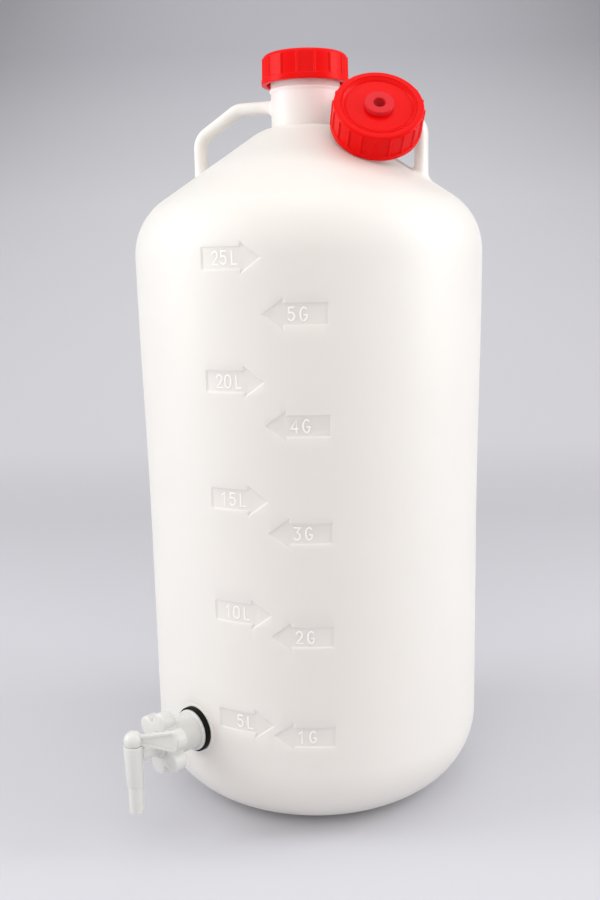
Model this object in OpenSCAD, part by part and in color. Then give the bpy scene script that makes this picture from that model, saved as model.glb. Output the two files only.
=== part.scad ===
// Carboy with spigot: a blow-moulded tank with two loop handles, a screw cap, a spare bored cap
// with a rubber grommet resting on the shoulder, and a plug tap held by a lobed nut.
// Millimetres, +Z up. The origin is on the tank's axis, at floor level, and the tap points to -Y.

/* [Tank] */
// Diameter at the shoulder
body_d = 278; // [276:0.5:284]
// Diameter of the straight lower part
lower_d = 273; // [271:0.5:276]
// Height at which the side ends and the shoulder's curve begins
side_h = 443; // [430:1:470]
// Wall thickness
wall = 3; // [2.4:0.1:3.6]
// Radius of the curve between side and shoulder
shoulder_r = 52; // [44:1:60]
// Slope of the shoulder, from the horizontal
shoulder_slope = 33.7; // [31:0.1:36]
// Radius of the curve where the shoulder meets the neck
crown_r = 40; // [34:1:44]
// Radius of the curve between side and foot
base_r = 60; // [56:1:64]
// Width of the flat ring that the tank stands on
foot_w = 8; // [5:0.5:12]
// Rise of the bottom's middle above the foot ring
bottom_rise = 6; // [4:0.5:8]

/* [Neck] */
// Outside diameter of the neck
neck_d = 54.6; // [53:0.1:56]
// Wall thickness of the neck
neck_wall = 2.8; // [2.4:0.1:3.2]
// Length of neck that shows below the cap
neck_shown = 32.5; // [30:0.5:38]
// Width of the moulding bead under the cap
bead_h = 3; // [2:0.5:4]
// How far the bead stands proud of the neck
bead_out = 1.2; // [0.8:0.1:1.6]

/* [Handles] */
// Direction of the right handle, in degrees from the tap
handle_dir = 112; // [105:1:118]
// Radius of the upright bar's outer face, from the tank's axis
handle_reach = 99.5; // [98:0.5:104]
// Thickness of the bar, seen from the side
bar_t = 9.8; // [9.2:0.2:10.8]
// Width of the bar, across the loop
bar_w = 14; // [13:0.5:16]
// Height of the level bar's middle above the neck's foot
bar_rise = 18.2; // [17:0.2:20]
// Length of the level bar, out to where it bends down
bar_level = 59; // [56:0.5:62]
// Height of the lower bend below the level bar
bar_drop = 21; // [19:0.5:23]
// Radius of both bends
bend_r = 14; // [12:0.5:16]
// Radius of the fillet under the bar at the neck
neck_fillet = 7; // [5:0.5:8]
// How far the upright bar spreads where it joins the shoulder
foot_spread = 3.5; // [2:0.5:5]

/* [Graduations] */
// Direction of the arrow tips, in degrees from the tap
mark_dir = 30.2; // [25:0.5:35]
// Height of the 5 litre mark
mark_first = 96.5; // [90:0.5:100]
// Rise of the level for one litre
litre_rise = 17.2; // [17:0.05:17.5]
// Litres in one gallon
gallon = 4.546; // [4.546:0.001:4.546]
// Length of an arrow
arrow_len = 46.5; // [44:0.5:48]
// Height of an arrow's tail
arrow_h = 15; // [13:0.5:16]
// Height of an arrow's head
head_h = 22; // [20:0.5:23]
// Length of an arrow's head
head_len = 15; // [13:0.5:17]
// Depth of the arrow pockets
arrow_deep = 0.7; // [0.5:0.1:1]

/* [Screw cap] */
// Diameter over the cap's lower band
cap_d = 69; // [68:0.2:70]
// Height of the cap
cap_h = 22.5; // [21.5:0.1:24]
// Height of the plain band at the cap's mouth
band_h = 4.2; // [3.4:0.2:5]
// How far the ribbed skirt is set back from the band
skirt_back = 0.9; // [0.7:0.1:1.1]
// Number of grip ribs
rib_n = 16; // [12:1:20]
// Width of a grip rib
rib_w = 1.6; // [1.2:0.1:2]
// Radius of the cap's top edge
cap_round = 4; // [3:0.2:4.4]
// Thickness of the cap's top
cap_top = 2.2; // [1.8:0.1:2.6]
// Inside diameter of the cap's skirt, between its threads
cap_bore = 61; // [60.6:0.1:61.6]
// Thickness of the sealing disc
liner_t = 1.6; // [1.2:0.1:2]
// Gap between the sealing disc and the neck's lip
seal_gap = 0.05; // [0.05:0.05:0.2]

/* [Bored cap] */
// Number of grip ribs
spare_rib_n = 20; // [16:1:24]
// Height of the bored cap
spare_h = 21.6; // [21:0.2:23]
// Radius of the bored cap's top edge
spare_round = 2; // [1.4:0.2:2.6]
// Width of the raised rim on its top
rim_w = 4.2; // [3.4:0.2:5]
// Depth of the dished top below the rim
dish_deep = 1.8; // [1.4:0.1:2.4]
// Width of the slope from rim to dish
dish_slope = 2; // [1.6:0.1:2.6]
// Thickness of the dished top
dish_t = 2.4; // [2:0.1:2.8]
// Diameter of the hole in the bored cap
cap_hole = 17; // [16:0.2:18]
// Slope of the bored cap's axis above the horizontal, as it leans
lean = 37.5; // [35:0.5:40]
// Direction that the bored cap faces, in degrees from the tap
lean_dir = 49; // [46:0.5:52]
// Distance of the bored cap out along the handle
lean_out = 67; // [65:0.5:70]
// Gap left where resting pieces touch
rest_gap = 0.35; // [0.3:0.05:0.5]

/* [Grommet] */
// Diameter of the grommet's upper flange
grommet_d = 21.8; // [20.8:0.2:23]
// Thickness of the upper flange
grommet_top = 4; // [3.2:0.2:4.4]
// Diameter of the lower flange
grommet_low_d = 20; // [19.2:0.2:20.6]
// Thickness of the lower flange
grommet_low = 2.6; // [2:0.2:3]
// Diameter of the hole that takes a tube
tube_d = 9; // [8:0.2:10]

/* [Tap port] */
// Height of the tap's axis above the floor
port_h = 80; // [76:0.5:90]
// Diameter of the flat land round the port
land_d = 38; // [37:0.5:40]
// Diameter of the port's inner boss
boss_d = 30; // [28:0.5:32]
// Length of the inner boss
boss_len = 11; // [9:0.5:13]
// Diameter of the tap's threaded shank
shank_d = 20; // [19:0.2:21]
// Radial clearance of threads and of the plug
run_gap = 0.06; // [0.05:0.01:0.1]
// Outside diameter of the gasket
gasket_d = 35; // [34:0.2:36.4]
// Thickness of the gasket
gasket_t = 4; // [3.4:0.1:4.4]

/* [Tap nut] */
// Diameter of the nut's sealing flange
flange_d = 32; // [31:0.2:33]
// Thickness of the sealing flange
flange_t = 2.2; // [1.8:0.1:2.6]
// Diameter of the nut's hub
hub_d = 26.6; // [26:0.2:28]
// Length of the hub, from flange to lobes
hub_len = 20.8; // [19:0.2:22]
// Number of lobes
lobe_n = 6; // [5:1:7]
// Diameter over the lobes
nut_d = 50; // [48:0.5:51]
// Diameter of one lobe
lobe_d = 15; // [13:0.5:16]
// Length of the lobed grip
grip_len = 10.5; // [9:0.5:11]
// Turn of the lobes about the tap's axis, as the nut stands
lobe_turn = 54; // [0:1:60]

/* [Tap] */
// Distance of the spout's axis from the port's face
spout_reach = 60; // [59:0.5:64]
// Diameter of the barrel between nut and sleeve
barrel_d = 14; // [13:0.5:15]
// Bore of the barrel and shank
flow_d = 7; // [6:0.2:7.6]
// Diameter of the sleeve at its top
sleeve_top_d = 15; // [14.6:0.2:16]
// Diameter of the sleeve at its foot
sleeve_low_d = 12.6; // [12.4:0.1:13]
// Height of the sleeve's top above the tap's axis
sleeve_up = 8; // [7.8:0.2:9]
// Depth of the sleeve's foot below the tap's axis
sleeve_down = 23.5; // [22:0.5:25]
// Outside diameter of the spout
spout_d = 11; // [10.6:0.1:11.4]
// Bore of the spout
spout_bore = 7.6; // [7:0.1:8]
// Depth of the spout's end below the tap's axis
spout_down = 45; // [42:0.5:47]
// Diameter of the plug at its top
plug_top_d = 10; // [9.6:0.1:10.4]
// Diameter of the plug at its foot
plug_low_d = 8.6; // [8.4:0.1:8.8]
// Gap between the key's head and the sleeve
head_gap = 0.3; // [0.2:0.05:0.4]

/* [Lever] */
// Diameter of the key's round head
head_d = 14.2; // [13.6:0.2:15]
// Length of the lever from the spout's axis
lever_len = 33; // [32:0.2:34]
// Height of the lever at the head
lever_low_h = 8; // [7:0.2:9]
// Height of the lever at its free end
lever_end_h = 15.8; // [15:0.2:17]
// Thickness of the lever's frame
lever_t = 3.4; // [3:0.1:3.8]
// Width of the lever's frame
lever_rim = 2; // [1.6:0.1:2.2]
// Thickness of the web inside the frame
lever_web = 1.2; // [1:0.1:1.6]
// Turn of the lever past square to the barrel, as it stands
lever_turn = 36; // [30:1:37]

/* [Hidden] */
$fn = 96;

milky = [0.95, 0.94, 0.91];
red = [0.85, 0.04, 0.05];
rubber_red = [0.72, 0.16, 0.2];
white = [0.96, 0.96, 0.95];
black = [0.06, 0.06, 0.06];
eps = 0.01;

// The tank's outline. Its curves keep their centres when the outline is moved inward, so one
// function gives the outer surface, the inner surface and the floor of the arrow pockets.
body_r = body_d / 2;
lower_r = lower_d / 2;
neck_r = neck_d / 2;
flare_from = side_h * 0.5;
crown_end = 80;
shoulder_cz = side_h;
shoulder_cr = body_r - shoulder_r;
crown_cr = neck_r - crown_r * cos(crown_end);
crown_cz = shoulder_cz + (shoulder_cr - crown_cr) * tan(shoulder_slope)
    + (shoulder_r - crown_r) / cos(shoulder_slope);
neck_foot = crown_cz + crown_r * sin(crown_end);
cap_z = neck_foot + neck_shown;
lip_z = cap_z + cap_h - cap_top - liner_t - seal_gap;

function arc(centre_r, centre_z, radius, from, to, steps) = [
    for (i = [0 : steps])
        let (a = from + (to - from) * i / steps)
        [centre_r + radius * cos(a), centre_z + radius * sin(a)]
];
function side_r(z) = z <= flare_from ? lower_r
    : lower_r + (body_r - lower_r) * (1 - cos(180 * (z - flare_from) / (side_h - flare_from))) / 2;
function side(inset) = [
    for (i = [1 : 11])
        let (z = flare_from + (side_h - flare_from) * i / 12)
        [side_r(z) - inset, z]
];
function outline(inset) = concat(
    arc(lower_r - base_r, base_r, base_r - inset, -90, 0, 24),
    side(inset),
    arc(shoulder_cr, shoulder_cz, shoulder_r - inset, 0, 90 - shoulder_slope, 18)
);
function crown(inset, radius) =
    arc(crown_cr, crown_cz, crown_r - inset, 90 - shoulder_slope,
        acos((radius - crown_cr) / (crown_r - inset)), 8);

foot_out = lower_r - base_r;
foot_in = foot_out - foot_w;
function bottom(lift) = [
    for (i = [0 : 8])
        let (x = i / 8)
        [foot_in * x, lift + bottom_rise * (1 + cos(180 * x)) / 2]
];

function shoulder_z(r) = shoulder_cz + (shoulder_cr - r) * tan(shoulder_slope)
    + shoulder_r / cos(shoulder_slope);

module tank_solid() {
    rotate_extrude()
        polygon(concat(outline(0), crown(0, neck_r), [[neck_r, lip_z], [0, lip_z]], bottom(0)));
}

module tank_hollow() {
    neck_in = neck_r - neck_wall;
    rotate_extrude()
        polygon(concat(outline(wall), crown(wall, neck_in),
            [[neck_in, lip_z + 1], [0, lip_z + 1]], bottom(wall)));
}

// One handle lies in the plane of local X and Z: a bar of rounded section that leaves the neck,
// bends down twice and stands on the shoulder. It is drawn as rings of points joined in order.
// In a ring, u runs across the bar in the handle's plane (outward is positive) and w sideways.
bar_z = neck_foot + bar_rise;
stand_r = handle_reach - bar_t / 2;
slope_a = atan2(bar_drop, stand_r - bar_level);
level_len = bar_level - bend_r * tan(slope_a / 2);
bend_foot = bar_z - bar_drop - bend_r * tan((90 - slope_a) / 2);
spread_h = 4 * foot_spread;
embed = 0.3 * wall;

bar_ring = [
    for (q = [0 : 3])
        let (corner = bar_t / 2 - 0.4)
        let (su = q == 0 || q == 3 ? 1 : -1)
        let (sw = q < 2 ? 1 : -1)
        for (i = [0 : 3])
            [su * 0.4 + corner * cos(90 * q + 30 * i),
             sw * (bar_w / 2 - corner) + corner * sin(90 * q + 30 * i)]
];
ring_n = len(bar_ring);

// At the neck the bar's underside runs down in a fillet.
function neck_ring(d) =
    let (x = max(0, min(d, neck_fillet)))
    let (drop = neck_fillet - sqrt(neck_fillet ^ 2 - (neck_fillet - x) ^ 2))
    [
        for (p = bar_ring)
            let (u = p[0] < 0 ? p[0] * (1 + 2 * drop / bar_t) : p[0])
            [sqrt((neck_r + d) ^ 2 - p[1] ^ 2), p[1], bar_z + u]
    ];
function bend_ring(x, z, a) = [
    for (p = bar_ring)
        [x + (bend_r + p[0]) * sin(a), p[1], z + (bend_r + p[0]) * cos(a)]
];
// At the shoulder the bar spreads, and its rings follow the slope.
function foot_ring(h) =
    let (spread = foot_spread * (1 - max(h, 0) / spread_h) ^ 2)
    [
        for (p = bar_ring)
            let (x = stand_r + p[0] * (1 + 2 * spread / bar_t))
            let (y = p[1] * (1 + 2 * spread / bar_w))
            [x, y, shoulder_z(norm([x, y])) + h]
    ];

handle_rings = concat(
    [for (d = [-embed, 0.4, 1.2, 2.6, 4.6, neck_fillet]) neck_ring(d)],
    [for (i = [0 : 3]) bend_ring(level_len, bar_z - bend_r, slope_a * i / 3)],
    [for (i = [0 : 6]) bend_ring(stand_r - bend_r, bend_foot, slope_a + (90 - slope_a) * i / 6)],
    [for (h = [1, 0.7, 0.45, 0.25, 0.1, 0.03, -0.1]) foot_ring(h * spread_h)]
);

module handle() {
    last = (len(handle_rings) - 1) * ring_n;
    polyhedron(
        points = [for (ring = handle_rings) for (p = ring) p],
        faces = concat(
            [
                for (k = [0 : ring_n : last - 1])
                    for (i = [0 : ring_n - 1])
                        let (j = (i + 1) % ring_n)
                        for (f = [[k + i, k + j, k + j + ring_n], [k + i, k + j + ring_n, k + i + ring_n]])
                            f
            ],
            [for (i = [1 : ring_n - 2]) [0, i + 1, i]],
            [for (i = [1 : ring_n - 2]) [last, last + i, last + i + 1]]
        )
    );
}

// An arrow pocket, cut as a prism that reaches in from outside. side_x is 1 when it points
// to the right, and the arrow's tip lies at the height of its mark.
module arrow(side_x, z) {
    rotate([0, 0, mark_dir])
        translate([0, -body_r - 6, z])
            rotate([-90, 0, 0])
                linear_extrude(height = 24)
                    polygon([
                        for (p = [
                            [0, 0], [-head_len, head_h / 2], [-head_len, arrow_h / 2],
                            [-arrow_len, arrow_h / 2], [-arrow_len, -arrow_h / 2],
                            [-head_len, -arrow_h / 2], [-head_len, -head_h / 2]
                        ])
                            [side_x * p[0], p[1]]
                    ]);
}

function mark_z(litres) = mark_first + (litres - 5) * litre_rise;

module arrow_pockets() {
    difference() {
        for (n = [1 : 5]) {
            arrow(1, mark_z(5 * n));
            arrow(-1, mark_z(gallon * n));
        }
        rotate_extrude()
            polygon(concat(outline(arrow_deep), [[0, side_h]], [[0, 0]]));
    }
}

// The port: a flat land outside, and a boss inside that holds the tap's thread.
port_face = lower_r + 0.5;

module outward(distance) {
    translate([0, -distance, port_h])
        rotate([90, 0, 0])
            children();
}

module tank() {
    color(milky)
        difference() {
            union() {
                difference() {
                    tank_solid();
                    tank_hollow();
                    arrow_pockets();
                }
                for (turn = [0, 180])
                    rotate([0, 0, handle_dir - 90 + turn])
                        handle();
                // the bead under the cap
                translate([0, 0, cap_z - bead_h / 2 - 3])
                    rotate_extrude()
                        translate([neck_r + bead_out - bead_h / 2, 0])
                            circle(d = bead_h, $fn = 24);
                // the port's land and boss
                outward(port_face - 2.4)
                    cylinder(h = 2.4, d = land_d);
                outward(port_face - wall - boss_len)
                    cylinder(h = boss_len + wall / 2, d = boss_d);
            }
            outward(port_face - wall - boss_len - 1)
                cylinder(h = wall + boss_len + 2, r = shank_d / 2 + run_gap);
        }
}

// The body of a cap, mouth down at z = 0: a plain band, a ribbed skirt and a rounded top edge.
skirt_r = cap_d / 2 - skirt_back;

module cap_shell(height, edge, ribs) {
    rotate_extrude()
        polygon(concat(
            [[0, 0], [cap_d / 2, 0], [cap_d / 2, band_h - 0.6], [cap_d / 2 - 0.6, band_h], [skirt_r, band_h]],
            arc(skirt_r - edge, height - edge, edge, 0, 90, 8),
            [[0, height]]
        ));
    for (i = [0 : ribs - 1])
        rotate([0, 0, (i + 0.5) * 360 / ribs])
            translate([0, -rib_w / 2, band_h - 1])
                cube([cap_d / 2 - 0.1, rib_w, height - edge - band_h + 0.6]);
}

module cap_inside(height, top) {
    translate([0, 0, -1])
        cylinder(h = height - top + 1, d = cap_bore);
}

module main_cap() {
    color(red)
        translate([0, 0, cap_z])
            difference() {
                cap_shell(cap_h, cap_round, rib_n);
                cap_inside(cap_h, cap_top);
            }
}

module main_cap_liner() {
    color(white)
        translate([0, 0, lip_z + seal_gap])
            cylinder(h = liner_t, d = cap_bore - 0.8);
}

// The bored cap leans on the shoulder and on the handle's bar. It is raised until its mouth
// clears the shoulder, and slid towards the handle until it clears the bar.
lean_axis = [cos(lean) * sin(lean_dir), -cos(lean) * cos(lean_dir), sin(lean)];
mouth_u = [cos(lean_dir), sin(lean_dir), 0];
mouth_v = cross(lean_axis, mouth_u);
along = [sin(handle_dir), -cos(handle_dir), 0];
across = [cos(handle_dir), sin(handle_dir), 0];
mouth = [
    for (a = [0 : 5 : 355])
        cap_d / 2 * (cos(a) * mouth_u + sin(a) * mouth_v)
];
bar_path = [[neck_r, bar_z], [bar_level, bar_z], [stand_r, bar_z - bar_drop], [stand_r, shoulder_z(stand_r)]];

function flat_place(slide) = lean_out * along + slide * across;
function lift(slide) = max([
    for (m = mouth)
        let (p = flat_place(slide) + m)
        shoulder_z(norm([p[0], p[1]])) + rest_gap / cos(shoulder_slope) - p[2]
]);
function place(slide) = flat_place(slide) + [0, 0, lift(slide)];
function to_leg(q, a, b) =
    let (s = max(0, min(1, (q - a) * (b - a) / ((b - a) * (b - a)))))
    norm(q - a - s * (b - a));
function bar_gap(p) =
    let (q = [p * along, p[2]])
    let (d = min([for (i = [0 : 2]) to_leg(q, bar_path[i], bar_path[i + 1])]) - bar_t / 2 + 4)
    let (t = abs(p * across) - bar_w / 2 + 4)
    norm([max(d, 0), max(t, 0)]) - 4;
function cap_gap(slide) = min([for (m = mouth) bar_gap(place(slide) + m)]);
function slid(near, far, n) =
    n == 0 ? far
    : cap_gap((near + far) / 2) > rest_gap ? slid(near, (near + far) / 2, n - 1)
    : slid((near + far) / 2, far, n - 1);
spare_at = place(slid(-20, -45, 12));

module in_spare_frame() {
    translate(spare_at)
        rotate([0, 90 - lean, lean_dir - 90])
            children();
}

dish_z = spare_h - dish_deep;

module bored_cap() {
    rim_in = skirt_r - spare_round - rim_w;
    color(red)
        in_spare_frame()
            difference() {
                cap_shell(spare_h, spare_round, spare_rib_n);
                cap_inside(spare_h, dish_deep + dish_t);
                translate([0, 0, dish_z])
                    cylinder(h = dish_deep + eps, r1 = rim_in - dish_slope, r2 = rim_in);
                cylinder(h = spare_h, d = cap_hole);
            }
}

// A flat ring under the bored cap's top, round the grommet.
module bored_cap_liner() {
    color(white)
        in_spare_frame()
            translate([0, 0, dish_z - dish_t - liner_t])
                difference() {
                    cylinder(h = liner_t, d = cap_bore - 0.8);
                    translate([0, 0, -1])
                        cylinder(h = liner_t + 2, d = grommet_low_d + 1);
                }
}

module grommet() {
    color(rubber_red)
        in_spare_frame()
            translate([0, 0, dish_z])
                difference() {
                    union() {
                        cylinder(h = grommet_top, d1 = grommet_d, d2 = grommet_d - 0.6);
                        translate([0, 0, -dish_t])
                            cylinder(h = dish_t, r = cap_hole / 2 - run_gap);
                        translate([0, 0, -dish_t - grommet_low])
                            cylinder(h = grommet_low, d1 = grommet_low_d - 1.6, d2 = grommet_low_d);
                    }
                    translate([0, 0, -dish_t - grommet_low - 1])
                        cylinder(h = grommet_low + dish_t + grommet_top + 2, d = tube_d);
                }
}

// Along the tap's axis, from the port's face outward.
flange_at = gasket_t;
grip_at = flange_at + flange_t + hub_len;
grip_end = grip_at + grip_len;

module port_gasket() {
    color(black)
        outward(port_face)
            difference() {
                cylinder(h = gasket_t, d = gasket_d);
                translate([0, 0, -1])
                    cylinder(h = gasket_t + 2, r = shank_d / 2 + run_gap);
            }
}

// The grip's outline: round lobes that stand out of a round valley.
lobe_c = (nut_d - lobe_d) / 2;

function lobe_reach(a) =
    let (b = (a % (360 / lobe_n)) - 180 / lobe_n)
    let (half = (lobe_d / 2) ^ 2 - (lobe_c * sin(b)) ^ 2)
    max(lobe_c, lobe_c * cos(b) + sqrt(max(half, 0)));

module jam_nut() {
    grip = [
        for (i = [0 : 20 * lobe_n - 1])
            let (a = i * 18 / lobe_n)
            lobe_reach(a) * [cos(a), sin(a)]
    ];
    color(white)
        outward(port_face)
            difference() {
                union() {
                    rotate_extrude()
                        polygon([
                            [0, flange_at], [flange_d / 2, flange_at],
                            [flange_d / 2, flange_at + flange_t], [hub_d / 2, flange_at + flange_t],
                            [hub_d / 2, grip_at + 1], [0, grip_at + 1]
                        ]);
                    translate([0, 0, grip_at])
                        rotate([0, 0, lobe_turn])
                            linear_extrude(height = grip_len)
                                polygon(grip);
                }
                translate([0, 0, flange_at - 1])
                    cylinder(h = grip_end - flange_at + 2, r = shank_d / 2 + run_gap);
            }
}

spout_y = -port_face - spout_reach;

module at_spout(z) {
    translate([0, spout_y, port_h + z])
        children();
}

module tap_body() {
    color(white)
        difference() {
            union() {
                outward(port_face - wall - boss_len)
                    cylinder(h = wall + boss_len + grip_end + 1.5, d = shank_d);
                outward(port_face)
                    cylinder(h = spout_reach, d = barrel_d);
                at_spout(-sleeve_down)
                    cylinder(h = sleeve_down + sleeve_up, d1 = sleeve_low_d, d2 = sleeve_top_d);
                at_spout(-spout_down)
                    cylinder(h = spout_down - sleeve_down + 1, d = spout_d);
            }
            outward(port_face - wall - boss_len - 1)
                cylinder(h = wall + boss_len + 1 + spout_reach, d = flow_d);
            at_spout(-sleeve_down + 3)
                cylinder(h = sleeve_down - 3 + sleeve_up + eps,
                    d1 = plug_low_d + 2 * run_gap, d2 = plug_top_d + 2 * run_gap);
            at_spout(-spout_down - 1)
                cylinder(h = spout_down - sleeve_down + 5, d = spout_bore);
        }
}

// The key: a hollow plug that lets water down the spout, a round head and a flag lever.
lever_mid = sleeve_up + head_gap + lever_low_h / 2;
lever_root = sleeve_top_d / 2 + 1;

// The lever widens only from its root, so that it turns clear of the sleeve.
module lever_outline(inset) {
    near = head_d * 0.3 + inset * 1.5;
    far = lever_len - inset;
    low = lever_low_h / 2 - inset;
    high = lever_end_h / 2 - inset;
    corner = 2.4 - inset * 0.6;
    polygon(concat(
        [[near, -low], [lever_root, -low]],
        arc(far - corner, -high + corner, corner, -84, 0, 6),
        arc(far - corner, high - corner, corner, 0, 84, 6),
        [[lever_root, low], [near, low]]
    ));
}

module lever() {
    pocket = (lever_t - lever_web) / 2;
    translate([0, 0, lever_mid])
        rotate([90, 0, 0])
            difference() {
                linear_extrude(height = lever_t, center = true)
                    lever_outline(0);
                for (side = [-1, 1])
                    translate([0, 0, side * (lever_t / 2)])
                        linear_extrude(height = 2 * pocket, center = true)
                            lever_outline(lever_rim);
            }
}

module tap_key() {
    plug_len = sleeve_down - 3 + sleeve_up;
    head_z = sleeve_up + head_gap;
    color(white)
        at_spout(0)
            rotate([0, 0, lever_turn])
                difference() {
                    union() {
                        translate([0, 0, -sleeve_down + 3.2])
                            cylinder(h = plug_len - 0.2, d1 = plug_low_d, d2 = plug_top_d);
                        translate([0, 0, sleeve_up - eps])
                            cylinder(h = head_gap + 2 * eps, d = plug_top_d);
                        translate([0, 0, head_z])
                            cylinder(h = 3.5, d1 = head_d - 1, d2 = head_d);
                        intersection() {
                            translate([0, 0, head_z + 3.5])
                                sphere(d = head_d);
                            translate([0, 0, head_z + 3.5])
                                cylinder(h = head_d, d = head_d + 1);
                        }
                        lever();
                    }
                    translate([0, 0, -sleeve_down])
                        cylinder(h = sleeve_down + flow_d / 2, d = plug_low_d - 3);
                    rotate([0, 0, 180])
                        rotate([0, 90, 0])
                            cylinder(h = plug_top_d, d = flow_d - 1);
                }
}

tank();
main_cap();
main_cap_liner();
bored_cap();
bored_cap_liner();
grommet();
port_gasket();
jam_nut();
tap_body();
tap_key();
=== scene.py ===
import math

import bmesh
import bpy
from mathutils import Matrix, Vector
from mathutils.geometry import delaunay_2d_cdt


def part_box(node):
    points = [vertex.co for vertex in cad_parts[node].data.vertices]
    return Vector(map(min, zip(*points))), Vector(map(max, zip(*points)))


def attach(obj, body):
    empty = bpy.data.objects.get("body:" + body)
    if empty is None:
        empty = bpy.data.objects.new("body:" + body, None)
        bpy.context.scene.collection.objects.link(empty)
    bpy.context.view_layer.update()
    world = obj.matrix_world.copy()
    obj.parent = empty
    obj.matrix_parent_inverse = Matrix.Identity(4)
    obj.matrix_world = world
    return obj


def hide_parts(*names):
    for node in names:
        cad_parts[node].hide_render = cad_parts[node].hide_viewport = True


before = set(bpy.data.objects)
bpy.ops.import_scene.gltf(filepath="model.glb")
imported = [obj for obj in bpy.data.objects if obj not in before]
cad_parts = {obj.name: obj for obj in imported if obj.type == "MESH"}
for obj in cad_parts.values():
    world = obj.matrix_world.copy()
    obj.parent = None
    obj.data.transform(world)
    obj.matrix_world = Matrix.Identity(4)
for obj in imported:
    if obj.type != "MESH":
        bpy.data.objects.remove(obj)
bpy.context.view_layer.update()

MM = 0.001


# ---------------------------------------------------------------- small tools

def sin(a):
    return math.sin(math.radians(a))


def cos(a):
    return math.cos(math.radians(a))


def tan(a):
    return math.tan(math.radians(a))


def arc(cr, cz, radius, start, end, steps):
    """Points (r, z) along an arc, with its angles in degrees."""
    return [
        (cr + radius * cos(start + (end - start) * i / steps),
         cz + radius * sin(start + (end - start) * i / steps))
        for i in range(steps + 1)
    ]


def smooth(t):
    """An ease from 0 to 1 as t goes from 0 to 1."""
    t = max(0.0, min(1.0, t))
    return t * t * (3 - 2 * t)


def make(name, verts, faces, sharp=38, merge=1e-5):
    """A mesh object from points in millimetres, smooth except across edges of more than sharp degrees."""
    mesh = bpy.data.meshes.new(name)
    mesh.from_pydata([Vector(v) * MM for v in verts], [], faces)
    obj = bpy.data.objects.new(name, mesh)
    bpy.context.scene.collection.objects.link(obj)
    clean(obj, sharp, merge)
    return obj


def clean(obj, sharp=38, merge=1e-5):
    """Merges doubled points, turns the faces outward and marks the sharp edges."""
    bm = bmesh.new()
    bm.from_mesh(obj.data)
    if merge:
        bmesh.ops.remove_doubles(bm, verts=bm.verts, dist=merge)
    bmesh.ops.recalc_face_normals(bm, faces=bm.faces)
    for face in bm.faces:
        face.smooth = True
    for edge in bm.edges:
        two = len(edge.link_faces) == 2
        edge.smooth = not two or edge.calc_face_angle(0) < math.radians(sharp)
    bm.to_mesh(obj.data)
    bm.free()
    obj.data.update()


def lathe(profile, segments):
    """Points and faces of a closed profile [(r, z), ...] turned about Z."""
    verts, faces, rings = [], [], []
    for r, z in profile:
        if r < 1e-9:
            rings.append([len(verts)] * segments)
            verts.append((0, 0, z))
        else:
            rings.append(list(range(len(verts), len(verts) + segments)))
            verts += [
                (r * math.cos(math.tau * k / segments), r * math.sin(math.tau * k / segments), z)
                for k in range(segments)
            ]
    for low, high in zip(rings, rings[1:] + rings[:1]):
        for k in range(segments):
            j = (k + 1) % segments
            corners = []
            for v in (low[k], low[j], high[j], high[k]):
                if v not in corners:
                    corners.append(v)
            if len(corners) > 2:
                faces.append(corners)
    return verts, faces


def lofted(rings):
    """Points and faces of a closed solid through rings with the same number of points."""
    n = len(rings[0])
    verts = [p for ring in rings for p in ring]
    faces = [
        [k * n + i, k * n + (i + 1) % n, (k + 1) * n + (i + 1) % n, (k + 1) * n + i]
        for k in range(len(rings) - 1)
        for i in range(n)
    ]
    faces.append(list(range(n)))
    faces.append(list(range((len(rings) - 1) * n, len(rings) * n)))
    return verts, faces


def placed(points, move):
    """The points moved by a matrix."""
    return [tuple(move @ Vector(p)) for p in points]


def apply_modifiers(obj):
    graph = bpy.context.evaluated_depsgraph_get()
    result = bpy.data.meshes.new_from_object(obj.evaluated_get(graph))
    obj.modifiers.clear()
    obj.data = result


def combine(obj, other, operation):
    """obj joined with, or cut by, another closed mesh, which is then gone."""
    cut = obj.modifiers.new("cut", "BOOLEAN")
    cut.operation = operation
    cut.solver = "MANIFOLD"
    cut.object = other
    apply_modifiers(obj)
    bpy.data.objects.remove(other)


# ------------------------------------------------------------ sizes, as in the solids

BODY_R, LOWER_R, SIDE_H, WALL = 139.0, 136.5, 443.0, 3.0
SHOULDER_R, SLOPE, CROWN_R, BASE_R = 52.0, 33.7, 40.0, 60.0
FOOT_W, BOTTOM_RISE = 8.0, 6.0
NECK_R, NECK_WALL, NECK_SHOWN = 27.3, 2.8, 32.5
CAP_H, CAP_TOP, LINER_T, SEAL_GAP = 22.5, 2.2, 1.6, 0.05
FLARE_FROM = SIDE_H * 0.5
SHOULDER_CR = BODY_R - SHOULDER_R
CROWN_END = 80  # degrees of its arc at which the crown meets the neck
CROWN_CR = NECK_R - CROWN_R * cos(CROWN_END)
CROWN_CZ = SIDE_H + (SHOULDER_CR - CROWN_CR) * tan(SLOPE) + (SHOULDER_R - CROWN_R) / cos(SLOPE)
NECK_FOOT = CROWN_CZ + CROWN_R * sin(CROWN_END)
CAP_Z = NECK_FOOT + NECK_SHOWN
LIP_Z = CAP_Z + CAP_H - CAP_TOP - LINER_T - SEAL_GAP


def side_r(z):
    """The tank's outside radius at a height below the shoulder's slope."""
    if z <= BASE_R:
        return LOWER_R - BASE_R + math.sqrt(BASE_R ** 2 - (BASE_R - z) ** 2)
    if z <= FLARE_FROM:
        return LOWER_R
    if z <= SIDE_H:
        return LOWER_R + (BODY_R - LOWER_R) * (1 - cos(180 * (z - FLARE_FROM) / (SIDE_H - FLARE_FROM))) / 2
    return SHOULDER_CR + math.sqrt(SHOULDER_R ** 2 - (z - SIDE_H) ** 2)


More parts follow.
